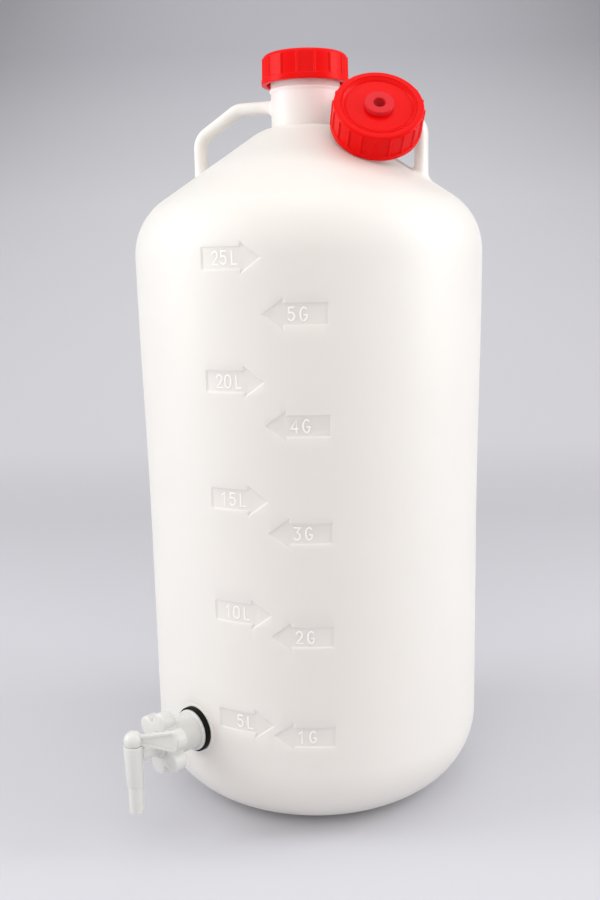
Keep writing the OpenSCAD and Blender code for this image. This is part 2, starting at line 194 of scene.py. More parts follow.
def shoulder_z(r):
    """The height of the shoulder's slope at a distance from the axis."""
    return SIDE_H + (SHOULDER_CR - r) * tan(SLOPE) + SHOULDER_R / cos(SLOPE)


# ------------------------------------------------------------ camera

# the camera was fitted to the photograph while it looked along +Y, and is turned about the tank's axis
VIEW_DIR = 43.9
CAMERA_AT = Vector((0, -0.8295, 0.4342))
SENSOR, FOCAL_PX, FRAME_PX = 36, 1001, 900
yaw, pitch, roll = -0.0125, 0.1823, -0.0218
look = Vector((math.sin(yaw) * math.cos(pitch), math.cos(yaw) * math.cos(pitch), -math.sin(pitch)))
right = Vector((math.cos(yaw), -math.sin(yaw), 0))
up = right.cross(look)
rolled_right = math.cos(roll) * right + math.sin(roll) * up
rolled_up = -math.sin(roll) * right + math.cos(roll) * up
turn = Matrix.Rotation(math.radians(VIEW_DIR), 3, "Z")
axes = Matrix((turn @ rolled_right, turn @ rolled_up, turn @ -look)).transposed()
camera = bpy.data.objects.new("camera", bpy.data.cameras.new("camera"))
bpy.context.scene.collection.objects.link(camera)
camera.matrix_world = Matrix.Translation(turn @ CAMERA_AT) @ axes.to_4x4()
camera.data.sensor_width = SENSOR
camera.data.lens = SENSOR * FOCAL_PX / FRAME_PX
camera.data.clip_end = 50
bpy.context.scene.camera = camera


# ------------------------------------------------------------ materials

def maths(nodes, links, operation, first, second):
    """The output of a maths node that takes two outputs."""
    node = nodes.new("ShaderNodeMath")
    node.operation = operation
    links.new(first, node.inputs[0])
    links.new(second, node.inputs[1])
    return node.outputs["Value"]


def region_mix(nodes, links, coords, paint, colour, heights, radii):
    """The paint, with another colour that takes over as height and distance from the axis cross their spans.

    heights and radii are (from, to) in metres."""
    split = nodes.new("ShaderNodeSeparateXYZ")
    links.new(coords.outputs["Object"], split.inputs["Vector"])
    flat = nodes.new("ShaderNodeCombineXYZ")
    links.new(split.outputs["X"], flat.inputs["X"])
    links.new(split.outputs["Y"], flat.inputs["Y"])
    distance = nodes.new("ShaderNodeVectorMath")
    distance.operation = "LENGTH"
    links.new(flat.outputs["Vector"], distance.inputs[0])
    shares = []
    for source, span in ((split.outputs["Z"], heights), (distance.outputs["Value"], radii)):
        reach = nodes.new("ShaderNodeMapRange")
        reach.interpolation_type = "SMOOTHSTEP"
        reach.inputs["From Min"].default_value, reach.inputs["From Max"].default_value = span
        links.new(source, reach.inputs["Value"])
        shares.append(reach.outputs["Result"])
    mixed = nodes.new("ShaderNodeMix")
    mixed.data_type = "RGBA"
    mixed.inputs["B"].default_value = (*colour, 1)
    links.new(paint.outputs["Result"], mixed.inputs["A"])
    links.new(maths(nodes, links, "MULTIPLY", *shares), mixed.inputs["Factor"])
    return mixed


def plastic(name, colour, roughness, subsurface=0.0, depth=0.003, bump=0.02, grain=900, mottle=0.02,
            specular=0.5, regions=()):
    """Moulded plastic: a fine skin texture, slight clouding and uneven gloss."""
    mat = bpy.data.materials.new(name)
    mat.use_nodes = True
    nodes, links = mat.node_tree.nodes, mat.node_tree.links
    shader = nodes["Principled BSDF"]
    coords = nodes.new("ShaderNodeTexCoord")
    cloud = nodes.new("ShaderNodeTexNoise")
    cloud.inputs["Scale"].default_value = 14
    cloud.inputs["Detail"].default_value = 4
    links.new(coords.outputs["Object"], cloud.inputs["Vector"])
    paint = nodes.new("ShaderNodeMix")
    paint.data_type = "RGBA"
    paint.inputs["A"].default_value = (*[c * (1 - mottle) for c in colour], 1)
    paint.inputs["B"].default_value = (*[min(1, c * (1 + mottle)) for c in colour], 1)
    links.new(cloud.outputs["Fac"], paint.inputs["Factor"])
    for region in regions:
        paint = region_mix(nodes, links, coords, paint, *region)
    links.new(paint.outputs["Result"], shader.inputs["Base Color"])
    gloss = nodes.new("ShaderNodeMapRange")
    gloss.inputs["To Min"].default_value = roughness * 0.85
    gloss.inputs["To Max"].default_value = roughness * 1.15
    links.new(cloud.outputs["Fac"], gloss.inputs["Value"])
    links.new(gloss.outputs["Result"], shader.inputs["Roughness"])
    skin = nodes.new("ShaderNodeTexNoise")
    skin.inputs["Scale"].default_value = grain
    skin.inputs["Detail"].default_value = 3
    links.new(coords.outputs["Object"], skin.inputs["Vector"])
    relief = nodes.new("ShaderNodeBump")
    relief.inputs["Strength"].default_value = bump
    relief.inputs["Distance"].default_value = 0.0005
    links.new(skin.outputs["Fac"], relief.inputs["Height"])
    links.new(relief.outputs["Normal"], shader.inputs["Normal"])
    if subsurface:
        shader.inputs["Subsurface Weight"].default_value = subsurface
        shader.inputs["Subsurface Radius"].default_value = (0.9, 0.95, 1.0)
        shader.inputs["Subsurface Scale"].default_value = depth
    shader.inputs["Specular IOR Level"].default_value = specular
    return mat


# colour, heights and distances of a region. Painted light: the neck below the red cap is painted pink, for
# light through the cap; painted shade: the solid bars of the handles, and the upper shoulder round them, are
# painted less bright than the thin wall
NECK_PAINTED_GLOW = ((0.94, 0.825, 0.815), (0.541, 0.568), (0.034, 0.031))
BAR_PAINTED_SHADE = ((0.765, 0.742, 0.712), (0.506, 0.522), (0.033, 0.04))
milky = plastic("milky_polythene", (0.835, 0.803, 0.766), 0.42, subsurface=0.5, depth=0.008, bump=0.03,
                grain=500, regions=(NECK_PAINTED_GLOW, BAR_PAINTED_SHADE))
# painted light: the raised figures are the tank's own plastic, painted lighter for the light that their
# ridges catch
figures_painted_light = plastic("raised_figures_painted_light", (0.97, 0.95, 0.92), 0.4, bump=0.03, grain=500)
cap_red = plastic("cap_red", (0.77, 0.0015, 0.0015), 0.32, subsurface=0.1, depth=0.002, bump=0.03,
                  grain=700, specular=0.1)
rubber_red = plastic("grommet_rubber", (0.68, 0.018, 0.025), 0.55, bump=0.1, grain=1500, mottle=0.05,
                     specular=0.2)
gasket_black = plastic("gasket_rubber", (0.004, 0.004, 0.004), 0.5, bump=0.1, grain=1200, mottle=0.3,
                       specular=0.12)
tap_white = plastic("tap_white", (0.69, 0.685, 0.665), 0.3, subsurface=0.3)
liner_white = plastic("liner_foam", (0.85, 0.85, 0.82), 0.7, bump=0.2, grain=2500, mottle=0.04)
for node, mat in (("tank", milky), ("main_cap", cap_red), ("bored_cap", cap_red), ("grommet", rubber_red),
                  ("port_gasket", gasket_black), ("jam_nut", tap_white), ("tap_body", tap_white),
                  ("tap_key", tap_white), ("main_cap_liner", liner_white), ("bored_cap_liner", liner_white)):
    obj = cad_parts[node]
    obj.data.materials.clear()
    obj.data.materials.append(mat)


def dressed(obj, mat, body, slot, *nodes):
    """Gives a piece its material and body, and hides the CAD nodes that it stands for; slot is not used."""
    obj.data.materials.clear()
    obj.data.materials.append(mat)
    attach(obj, body)
    if nodes:
        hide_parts(*nodes)


# ------------------------------------------------------------ graduations

MARK_DIR, MARK_FIRST, LITRE_RISE, GALLON = 30.2, 96.5, 17.2, 4.546
ARROW_LEN, ARROW_H, HEAD_H, HEAD_LEN, ARROW_DEEP = 45.2, 15.0, 22.0, 15.0, 0.7
MARKS = range(1, 6)  # a litre arrow every five litres and a gallon arrow every gallon
COLUMNS = 240
PATCH_FROM, PATCH_TO = 4, 36  # columns that hold the graduations
PATCH_UNIT = 0.42  # degrees round the wall to a millimetre, so that its triangles keep their shape
RIMS = ((0.55, 0.0), (0.2, -0.12), (-0.2, -0.58), (-0.55, -ARROW_DEEP))  # (outward from the outline, height)


def mark_z(litres):
    """The height of the tip of the arrow for that many litres."""
    return MARK_FIRST + (litres - 5) * LITRE_RISE


def grow(outline, d):
    """The outline moved outward by d, with its corners kept."""
    n, out = len(outline), []
    area = sum(outline[i - 1][0] * outline[i][1] - outline[i][0] * outline[i - 1][1] for i in range(n))
    sign = 1 if area > 0 else -1
    for i in range(n):
        a, b, c = Vector(outline[i - 1]), Vector(outline[i]), Vector(outline[(i + 1) % n])
        e, f = (b - a).normalized(), (c - b).normalized()
        n1, n2 = sign * Vector((e.y, -e.x)), sign * Vector((f.y, -f.x))
        m = (n1 + n2) / (1 + n1.dot(n2))
        out.append(tuple(b + m * d))
    return out


def arrow_outline(side):
    """An arrow with its tip at the origin. side is 1 for the litre arrows, which point to the right."""
    pts = [(0, 0), (-HEAD_LEN, HEAD_H / 2), (-HEAD_LEN, ARROW_H / 2), (-ARROW_LEN, ARROW_H / 2),
           (-ARROW_LEN, -ARROW_H / 2), (-HEAD_LEN, -ARROW_H / 2), (-HEAD_LEN, -HEAD_H / 2)]
    return [(side * x, y) for x, y in pts]


ARROWS = [(1, mark_z(5 * n)) for n in MARKS] + [(-1, mark_z(GALLON * n)) for n in MARKS]


def on_wall(x, z, h):
    """A point of the wall: x across from the line of the arrow tips, at height z, and h out of the wall."""
    r = side_r(z)
    a = math.radians(MARK_DIR) + math.asin(x / r)
    return ((r + h) * math.sin(a), -(r + h) * math.cos(a), z)


def inside(p, outline, slack):
    """Is the point in the outline, or within slack of its edge?"""
    x, y = p
    hit, near = False, False
    for i in range(len(outline)):
        (ax, ay), (bx, by) = outline[i - 1], outline[i]
        if (ay > y) != (by > y) and x < (bx - ax) * (y - ay) / (by - ay) + ax:
            hit = not hit
        dx, dy = bx - ax, by - ay
        t = max(0, min(1, ((x - ax) * dx + (y - ay) * dy) / (dx * dx + dy * dy)))
        if math.hypot(x - ax - t * dx, y - ay - t * dy) < slack:
            near = True
    return hit or near


def wall_rows():
    """Heights of the rings round the tank's side, from the foot's curve to the shoulder."""
    rows = [BASE_R + (FLARE_FROM - BASE_R) * i / 10 for i in range(11)]
    rows += [FLARE_FROM + (SIDE_H - FLARE_FROM) * i / 18 for i in range(1, 19)]
    rows += [SIDE_H + SHOULDER_R * sin(a) for a in range(5, SIDE_END + 1, 5)]
    return rows


def azimuth(k):
    """The direction of a column of the wall, in degrees from -Y."""
    return 360 / COLUMNS * k


def graduated_wall():
    """The patch of wall that holds the arrows, as points and triangles."""
    rows = wall_rows()
    verts, edges = [], []
    lines = [((azimuth(k), rows[0]), (azimuth(k), rows[-1])) for k in range(PATCH_FROM, PATCH_TO + 1)]
    lines += [((azimuth(PATCH_FROM), z), (azimuth(PATCH_TO), z)) for z in rows]

    def add(p):
        verts.append(Vector((p[0] / PATCH_UNIT, p[1])))
        return len(verts) - 1

    for a, b in lines:
        edges.append((add(a), add(b)))
    for side, z in ARROWS:
        for d, _ in RIMS:
            ring = []
            pts = grow(arrow_outline(side), d)
            for i in range(len(pts)):
                (ax, ay), (bx, by) = pts[i - 1], pts[i]
                for s in range(4):
                    x, y = ax + (bx - ax) * s / 4, ay + (by - ay) * s / 4
                    da = math.degrees(math.asin(x / side_r(z + y)))
                    ring.append(add((MARK_DIR + da, z + y)))
            edges += [(ring[i - 1], ring[i]) for i in range(len(ring))]
    out, _, faces, _, _, _ = delaunay_2d_cdt(verts, edges, [], 0, 1e-4)
    points = []
    for p in out:
        az, z = p.x * PATCH_UNIT, p.y
        h = 0.0
        x = side_r(z) * sin(az - MARK_DIR)
        for side, mz in ARROWS:
            if abs(z - mz) < HEAD_H / 2 + 1:
                for d, height in RIMS:
                    if inside((x, z - mz), grow(arrow_outline(side), d), 0.04):
                        h = min(h, height)
        r = side_r(z) + h
        points.append((r * sin(az), -r * cos(az), z))
    return points, [list(f) for f in faces]


# ------------------------------------------------------------ tank

SIDE_END = 20  # degrees of the shoulder's arc at which the rows of the side end
BEAD_H, BEAD_HALF, BEAD_LOW = 1.2, 2.2, 4.5  # the bead round the neck, under the cap
LIP_ROUND = 0.8


def tank_mesh():
    """The tank's wall, outside and inside, with the arrow pockets."""
    rows = wall_rows()
    foot_out = LOWER_R - BASE_R
    foot_in = foot_out - FOOT_W

    def dome(lift):
        return [(foot_in * i / 14, lift + BOTTOM_RISE * (1 + cos(180 * i / 14)) / 2) for i in range(15)]

    outer = dome(0) + arc(foot_out, BASE_R, BASE_R, -90, 0, 30)
    wall_at = len(outer) - 1
    outer += [(side_r(z), z) for z in rows[1:]]
    wall_end = len(outer) - 1
    outer += arc(SHOULDER_CR, SIDE_H, SHOULDER_R, SIDE_END, 90 - SLOPE, 12)[1:]
    outer += [(r, shoulder_z(r)) for r in range(103, 42, -12)]
    outer += arc(CROWN_CR, CROWN_CZ, CROWN_R, 90 - SLOPE, CROWN_END, 10)
    outer += [(NECK_R, NECK_FOOT + 8 * i) for i in (1, 2, 3)]
    outer += [(NECK_R + BEAD_H * smooth(1 - abs(t) / BEAD_HALF), CAP_Z - BEAD_LOW + t)
              for t in (-2.2, -1.7, -1.2, -0.6, 0, 0.6, 1.2, 1.7, 2.2)]
    outer += [(NECK_R, CAP_Z + 6), (NECK_R, LIP_Z - LIP_ROUND), (NECK_R - 0.25, LIP_Z - 0.2),
              (NECK_R - LIP_ROUND, LIP_Z)]
    neck_in = NECK_R - NECK_WALL
    inner = [(neck_in + LIP_ROUND, LIP_Z), (neck_in, LIP_Z - LIP_ROUND), (neck_in, NECK_FOOT + 12)]
    end = math.degrees(math.acos((neck_in - CROWN_CR) / (CROWN_R - WALL)))
    inner += arc(CROWN_CR, CROWN_CZ, CROWN_R - WALL, end, 90 - SLOPE, 8)
    inner += arc(SHOULDER_CR, SIDE_H, SHOULDER_R - WALL, 90 - SLOPE, 0, 12)
    inner += [(side_r(z) - WALL, z) for z in reversed(rows[2:29:3])]
    inner += arc(foot_out, BASE_R, BASE_R - WALL, 0, -90, 12)
    inner += reversed(dome(WALL))
    profile = outer + inner
    verts, faces, rings = [], [], []
    for r, z in profile:
        rings.append(len(verts))
        if r < 1e-9:
            verts += [(0, 0, z)] * COLUMNS
        else:
            verts += [(r * sin(azimuth(k)), -r * cos(azimuth(k)), z) for k in range(COLUMNS)]
    for i in range(len(profile) - 1):
        for k in range(COLUMNS):
            if wall_at <= i < wall_end and PATCH_FROM <= k < PATCH_TO:
                continue
            j = (k + 1) % COLUMNS
            faces.append([rings[i] + k, rings[i] + j, rings[i + 1] + j, rings[i + 1] + k])
    points, triangles = graduated_wall()
    base = len(verts)
    verts += points
    faces += [[base + i for i in t] for t in triangles]
    tank = make("tank_wall", verts, faces, merge=2e-5)
    bm = bmesh.new()
    bm.from_mesh(tank.data)
    bmesh.ops.dissolve_degenerate(bm, edges=bm.edges, dist=1e-6)
    bm.to_mesh(tank.data)
    bm.free()
    return tank


HANDLE_DIR, HANDLE_REACH, BAR_T, BAR_W = 112.0, 99.5, 9.8, 14.0
BAR_RISE, BAR_LEVEL, BAR_DROP, BEND_R = 18.2, 59.0, 21.0, 14.0
NECK_FILLET, SIDE_FILLET, FOOT_FILLET = 7.0, 3.0, 5.0
BAR_Z = NECK_FOOT + BAR_RISE
STAND_R = HANDLE_REACH - BAR_T / 2
SLOPE_A = math.degrees(math.atan2(BAR_DROP, STAND_R - BAR_LEVEL))


def bar_ring(points=40, power=2.5):
    """The bar's section, an oval with full corners, as (height, width) points."""
    ring = []
    for i in range(points):
        c, s = cos(360 * i / points), sin(360 * i / points)
        ring.append((math.copysign(abs(c) ** (2 / power), c) * BAR_T / 2,
                     math.copysign(abs(s) ** (2 / power), s) * BAR_W / 2))
    return ring


def fillet(d, radius):
    """How far a fillet of that radius stands out at a distance d from the face that it starts on."""
    d = max(0.0, min(d, radius))
    return radius - math.sqrt(radius ** 2 - (radius - d) ** 2)


def handle_mesh(name, facing):
    """A bar out of the neck, down a slope and on to the shoulder, with fillets at both ends."""
    ring = bar_ring()
    rings = []
    for d in (-1.2, 0.0, 0.35, 0.8, 1.4, 2.2, 3.2, 4.4, 5.8, 7.0):
        low, wide = fillet(d, NECK_FILLET), fillet(d, SIDE_FILLET)
        pts = []
        for u, w in ring:
            tall = u * (1 + 2 * (low if u < 0 else wide * 0.5) / BAR_T)
            across = w * (1 + 2 * wide * 0.5 / BAR_W)
            pts.append((math.sqrt((NECK_R + d) ** 2 - across ** 2), across, BAR_Z + tall))
        rings.append(pts)
    level = BAR_LEVEL - BEND_R * tan(SLOPE_A / 2)
    foot = BAR_Z - BAR_DROP - BEND_R * tan((90 - SLOPE_A) / 2)
    bends = [(level, BAR_Z - BEND_R, SLOPE_A * i / 6) for i in range(7)]
    bends += [(STAND_R - BEND_R, foot, SLOPE_A + (90 - SLOPE_A) * i / 12) for i in range(13)]
    for x, z, a in bends:
        rings.append([(x + (BEND_R + u) * sin(a), w, z + (BEND_R + u) * cos(a)) for u, w in ring])
    for h in (12, 8, 5, 4, 3, 2.2, 1.5, 0.9, 0.4, 0.1, -1.0):
        spread = fillet(h, FOOT_FILLET)
        pts = []
        for u, w in ring:
            x, y = STAND_R + u * (1 + 2 * spread / BAR_T), w * (1 + 2 * spread / BAR_W)
            pts.append((x, y, shoulder_z(math.hypot(x, y)) + h))
        rings.append(pts)
    verts, faces = lofted(rings)
    move = Matrix.Rotation(math.radians(facing - 90), 4, "Z")
    return make(name, placed(verts, move), faces)


PORT_FACE, PORT_H, LAND_R, BOSS_R, BOSS_LEN, SHANK_R = 137.0, 80.0, 19.0, 15.0, 11.0, 10.0
RUN_GAP = 0.06
BORE_R = SHANK_R + RUN_GAP
# local z is the distance out of the port, and local y is up
at_port = Matrix.Translation((0, -PORT_FACE, PORT_H)) @ Matrix.Rotation(math.radians(90), 4, "X")


def turned(name, profile, move, segments=96, sharp=38):
    """A turned solid, moved into place."""
    verts, faces = lathe(profile, segments)
    return make(name, placed(verts, move), faces, sharp)


def thread_mesh():
    """The neck's screw thread, hidden under the cap at rest."""
    turns, pitch, steps, start, depth = 2, 6.0, 96, CAP_Z + 3.6, 2.6
    low, root = NECK_R - 0.8, NECK_R + 0.05
    rings = []
    for i in range(turns * steps + 1):
        a = 360 * i / steps
        crest = NECK_R + depth * smooth(min(i, turns * steps - i) / 10)
        z = start + pitch * i / steps
        section = ((low, -1.6), (root, -1.5), (crest, -0.5), (crest, 0.4), (root, 1.3), (low, 1.4))
        rings.append([(r * cos(a), r * sin(a), z + h) for r, h in section])
    return make("thread", *lofted(rings), merge=0)


tank = tank_mesh()
for name, facing in (("bar_a", HANDLE_DIR), ("bar_b", HANDLE_DIR + 180)):
    combine(tank, handle_mesh(name, facing), "UNION")
land = [(0, -2.4), (LAND_R, -2.4), (LAND_R, -0.5), (LAND_R - 0.15, -0.15), (LAND_R - 0.5, 0), (0, 0)]
combine(tank, turned("land", land, at_port, sharp=60), "UNION")
boss = [(0, -WALL - BOSS_LEN), (BOSS_R, -WALL - BOSS_LEN), (BOSS_R, -1.5), (0, -1.5)]
combine(tank, turned("boss", boss, at_port), "UNION")
bore = [(0, -20), (BORE_R, -20), (BORE_R, 2), (0, 2)]
combine(tank, turned("bore", bore, at_port), "DIFFERENCE")
combine(tank, thread_mesh(), "UNION")
clean(tank, 40)
dressed(tank, milky, "carboy", "tank", "tank")


# ------------------------------------------------------------ figures of the graduations

FIGURE_H, FIGURE_NARROW, FIGURE_STEP, FIGURE_SPACE = 9.0, 0.85, 6.8, 1.6
STROKE_HALF = 0.6
STROKE = ((-1, -0.3), (-1, 0.03), (-0.6, 0.2), (0, 0.26), (0.6, 0.2), (1, 0.03), (1, -0.3))  # (share, height)


def curve_points(*pieces):
    """The pieces' points in one line, without doubled ones."""
    out = []
    for piece in pieces:
        for p in piece:
            if not out or math.dist(out[-1], p) > 1e-6:
                out.append(p)
    return out


def bow(cx, cy, rx, ry, start, end, steps=8):
    """Points along part of an ellipse, with its angles in degrees."""
    angles = [start + (end - start) * i / steps for i in range(steps + 1)]
    return [(cx + rx * cos(a), cy + ry * sin(a)) for a in angles]


# strokes of each figure in a cell 0.62 wide and 1 high
FIGURES = {
    "0": [curve_points(bow(0.31, 0.69, 0.29, 0.31, 0, 180), bow(0.31, 0.31, 0.29, 0.31, 180, 360),
                       [(0.6, 0.69)])],
    "1": [[(0.1, 0.8), (0.34, 1.0), (0.34, 0.0)]],
    "2": [curve_points(bow(0.31, 0.7, 0.28, 0.3, 165, -35), [(0.02, 0.0), (0.6, 0.0)])],
    "3": [curve_points([(0.04, 1.0), (0.58, 1.0), (0.28, 0.6)], bow(0.28, 0.3, 0.32, 0.3, 80, -150))],
    "4": [[(0.5, 0.0), (0.5, 1.0), (0.02, 0.3), (0.64, 0.3)]],
    "5": [curve_points([(0.55, 1.0), (0.1, 1.0), (0.07, 0.56)], bow(0.29, 0.32, 0.31, 0.32, 125, -150))],
    "L": [[(0.06, 1.0), (0.06, 0.0), (0.55, 0.0)]],
    "G": [curve_points(bow(0.33, 0.5, 0.31, 0.5, 50, 320, 14), [(0.6, 0.42), (0.36, 0.42)])],
}


def stroke(points, x0, z):
    """A rounded ridge along the points, on the floor of a pocket at height z."""
    path = [Vector((x0 + p[0] * FIGURE_H * FIGURE_NARROW, (p[1] - 0.5) * FIGURE_H)) for p in points]
    rings = []
    for i, p in enumerate(path):
        before = (p - path[i - 1]).normalized() if i else (path[1] - p).normalized()
        after = (path[i + 1] - p).normalized() if i + 1 < len(path) else before
        n1, n2 = Vector((-before.y, before.x)), Vector((-after.y, after.x))
        m = (n1 + n2) / max(1 + n1.dot(n2), 0.5)
        shift = 0
        if i == 0:
            shift = -STROKE_HALF * 0.6
        if i + 1 == len(path):
            shift = STROKE_HALF * 0.6
        q = p + before * shift
        rings.append([on_wall(q.x + m.x * STROKE_HALF * s, z + q.y + m.y * STROKE_HALF * s, -ARROW_DEEP + h)
                      for s, h in STROKE])
    return lofted(rings)


def figures():
    """The raised figures of all the arrows, in one piece."""
    marks = [((1, f"{5 * n} L", mark_z(5 * n)), (-1, f"{n} G", mark_z(GALLON * n))) for n in MARKS]
    verts, faces = [], []
    for side, text, z in (mark for pair in marks for mark in pair):
        width = sum(FIGURE_SPACE if c == " " else FIGURE_STEP for c in text)
        x = HEAD_LEN + 3 if side < 0 else -HEAD_LEN - width
        for c in text:
            if c == " ":
                x += FIGURE_SPACE
                continue
            for line in FIGURES[c]:
                v, f = stroke(line, x, z)
                faces += [[len(verts) + i for i in face] for face in f]
                verts += v
            x += FIGURE_STEP
    return make("figures", verts, faces, sharp=80)


dressed(figures(), figures_painted_light, "carboy", "tank")


# ------------------------------------------------------------ caps

CAP_R, SKIRT_R, CAP_BORE, BAND_H, CAP_EDGE = 34.5, 33.6, 30.5, 4.2, 0.45
RIB_N, RIB_W, RIB_DEEP, SPARE_RIB_N, SPARE_RIB_W, SPARE_RIB_DEEP = 16, 1.5, 0.9, 20, 1.7, 1.1
CAP_ROUND, CAP_ROUND_R = 4.0, 29.4  # the round edge of the main cap's top, and the radius where it is centred


def ribbed_cap(name, profile, ribs, width, move):
    """A turned cap whose profile points (r, z, rib) stand out by rib on the grip ribs."""
    pitch = math.tau * SKIRT_R / ribs
    half = width / 2
    across = [-half - 0.45, -half - 0.2, -half, -half + 0.3, 0, half - 0.3, half, half + 0.2, half + 0.45]
    height = [0.0, 0.06, 0.45, 0.92, 1.0, 0.92, 0.45, 0.06, 0.0]
    between = 6
    gap = pitch - 2 * (half + 0.45)
    across += [half + 0.45 + gap * i / between for i in range(1, between)]
    height += [0.0] * (between - 1)
    columns = [(360 / ribs * (n + 0.5 + x / pitch), h) for n in range(ribs) for x, h in zip(across, height)]
    count = len(columns)
    verts, faces, rings = [], [], []
    for r, z, rib in profile:
        rings.append(len(verts))
        verts += [((r + rib * h) * cos(a), (r + rib * h) * sin(a), z) for a, h in columns]
    for i in range(len(profile)):
        j = (i + 1) % len(profile)
        if profile[i][0] < 1e-9 and profile[j][0] < 1e-9:
            continue
        for k in range(count):
            m = (k + 1) % count
            faces.append([rings[i] + k, rings[i] + m, rings[j] + m, rings[j] + k])
    return make(name, placed(verts, move), faces, sharp=50)


def rounded(points, radius, steps=3):
    """(r, z) points with their corners rounded, as (r, z) points."""
    out = [points[0]]
    for a, b, c in zip(points, points[1:], points[2:]):
        a, b, c = Vector(a), Vector(b), Vector(c)
        r = min(radius, (a - b).length / 2.2, (c - b).length / 2.2)
        p, q = b + (a - b).normalized() * r, b + (c - b).normalized() * r
        for i in range(steps + 1):
            t = i / steps
            out.append(tuple(p * (1 - t) ** 2 + b * 2 * t * (1 - t) + q * t ** 2))
    out.append(points[-1])
    return out


def with_ribs(outer, inner, low, high, depth):
    """A cap's profile as (r, z, rib): the skirt's ribs fade in at height low and out at height high."""
    out = []
    for r, z in outer:
        on = smooth((z - low) / 0.5) * smooth((high - z) / 0.8) if r > 31.2 else 0.0
        out.append((r, z, depth * on))
    return out + [(r, z, 0) for r, z in inner]


CAP_IN = CAP_H - CAP_TOP
main_outer = rounded([(CAP_BORE + 0.4, 0), (CAP_R, 0), (CAP_R, BAND_H), (SKIRT_R, BAND_H + 0.1),
                      (SKIRT_R - 0.1, 8)], CAP_EDGE)
main_outer += [(SKIRT_R - 0.1 - 0.02 * i, 8 + 1.2 * i) for i in range(1, 9)]
main_outer += [(CAP_ROUND_R + CAP_ROUND * cos(a), CAP_H - CAP_ROUND + CAP_ROUND * sin(a))
               for a in (5, 15, 25, 35, 45, 55, 65, 75, 85, 90)]
main_outer += [(26, CAP_H), (14, CAP_H), (0, CAP_H)]
main_inner = [(0, CAP_IN), (24, CAP_IN), (CAP_BORE - 0.6, CAP_IN), (CAP_BORE, CAP_IN - 0.7)]
main_inner += [(CAP_BORE, z) for z in (14, 7, 0.5)]
main_profile = with_ribs(main_outer, main_inner, 4.0, 19.6, RIB_DEEP)
main_cap = ribbed_cap("main_cap_shell", main_profile, RIB_N, RIB_W, Matrix.Translation((0, 0, CAP_Z)))
dressed(main_cap, cap_red, "cap", "cap", "main_cap")

# the bored cap leans as in the solids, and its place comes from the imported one
LEAN, LEAN_DIR, SPARE_H, SPARE_ROUND, DISH_DEEP, DISH_T = 37.5, 49.0, 21.6, 2.0, 1.8, 2.4
CAP_HOLE_R = 8.5
LEAN_AXIS = Vector((cos(LEAN) * sin(LEAN_DIR), -cos(LEAN) * cos(LEAN_DIR), sin(LEAN)))
GROMMET_TOP, GROMMET_LOW, GROMMET_R, GROMMET_LOW_R, HOLE_R = 4.0, 2.6, 10.9, 10.0, 4.5


def spare_place():
    """The centre of the cap's mouth, found from the box of the solid."""
    lo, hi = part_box("bored_cap")
    lo, hi = lo / MM, hi / MM
    u = Vector((cos(LEAN_DIR), sin(LEAN_DIR), 0))
    v = LEAN_AXIS.cross(u)
    rim = [(CAP_R, 0), (CAP_R, BAND_H - 0.6), (SKIRT_R, BAND_H), (SKIRT_R, SPARE_H - SPARE_ROUND)]
    rim += arc(SKIRT_R - SPARE_ROUND, SPARE_H - SPARE_ROUND, SPARE_ROUND, 0, 90, 8)
    pts = [u * (r * cos(a)) + v * (r * sin(a)) + LEAN_AXIS * z for r, z in rim for a in range(360)]
    return Vector([((lo[i] + hi[i]) - (min(p[i] for p in pts) + max(p[i] for p in pts))) / 2
                   for i in range(3)])


spare_move = (Matrix.Translation(spare_place()) @ Matrix.Rotation(math.radians(LEAN_DIR - 90), 4, "Z")
              @ Matrix.Rotation(math.radians(90 - LEAN), 4, "Y"))
dish = SPARE_H - DISH_DEEP
dish_under = dish - DISH_T
spare_outer = rounded([(CAP_BORE + 0.4, 0), (CAP_R, 0), (CAP_R, BAND_H), (SKIRT_R - 0.2, BAND_H + 0.2),
                       (SKIRT_R - 0.3, 8)], CAP_EDGE)
spare_outer += [(SKIRT_R - 0.3, 8 + 1.5 * i) for i in range(1, 8)]
spare_outer += arc(SKIRT_R - 0.2 - SPARE_ROUND, SPARE_H - SPARE_ROUND, SPARE_ROUND, 0, 90, 8)
spare_outer += rounded([(29.5, SPARE_H), (28.5, SPARE_H), (28.2, SPARE_H - 0.7), (27.6, SPARE_H - 0.7),
                        (27.3, SPARE_H - 0.2), (25.7, dish + 0.35), (25.2, dish - 0.35), (24.6, dish - 0.35),
                        (24.3, dish), (14, dish)], 0.12)
spare_outer += [(CAP_HOLE_R + 0.02, dish)]
spare_inner = [(CAP_HOLE_R + 0.02, dish_under), (20, dish_under), (CAP_BORE - 0.6, dish_under),
               (CAP_BORE, dish_under - 0.8)]
spare_inner += [(CAP_BORE, z) for z in (12, 6, 0.5)]
spare_profile = with_ribs(spare_outer, spare_inner, 4.1, 20.2, SPARE_RIB_DEEP)
spare = ribbed_cap("bored_cap_shell", spare_profile, SPARE_RIB_N, SPARE_RIB_W, spare_move)
dressed(spare, cap_red, "carboy", "cap", "bored_cap")

grommet_profile = rounded([(HOLE_R, dish_under - GROMMET_LOW), (9.4, dish_under - GROMMET_LOW),
                           (GROMMET_LOW_R, dish_under - 0.1), (CAP_HOLE_R, dish_under), (CAP_HOLE_R, dish),
                           (GROMMET_R, dish), (GROMMET_R - 0.25, dish + GROMMET_TOP),
                           (7.5, dish + GROMMET_TOP), (HOLE_R, dish + GROMMET_TOP - 0.1),
                           (HOLE_R, dish)], 0.7, 4)
grommet = turned("grommet_rubber", grommet_profile, spare_move)
dressed(grommet, rubber_red, "carboy", "grommet", "grommet")


# ------------------------------------------------------------ gasket, nut and tap

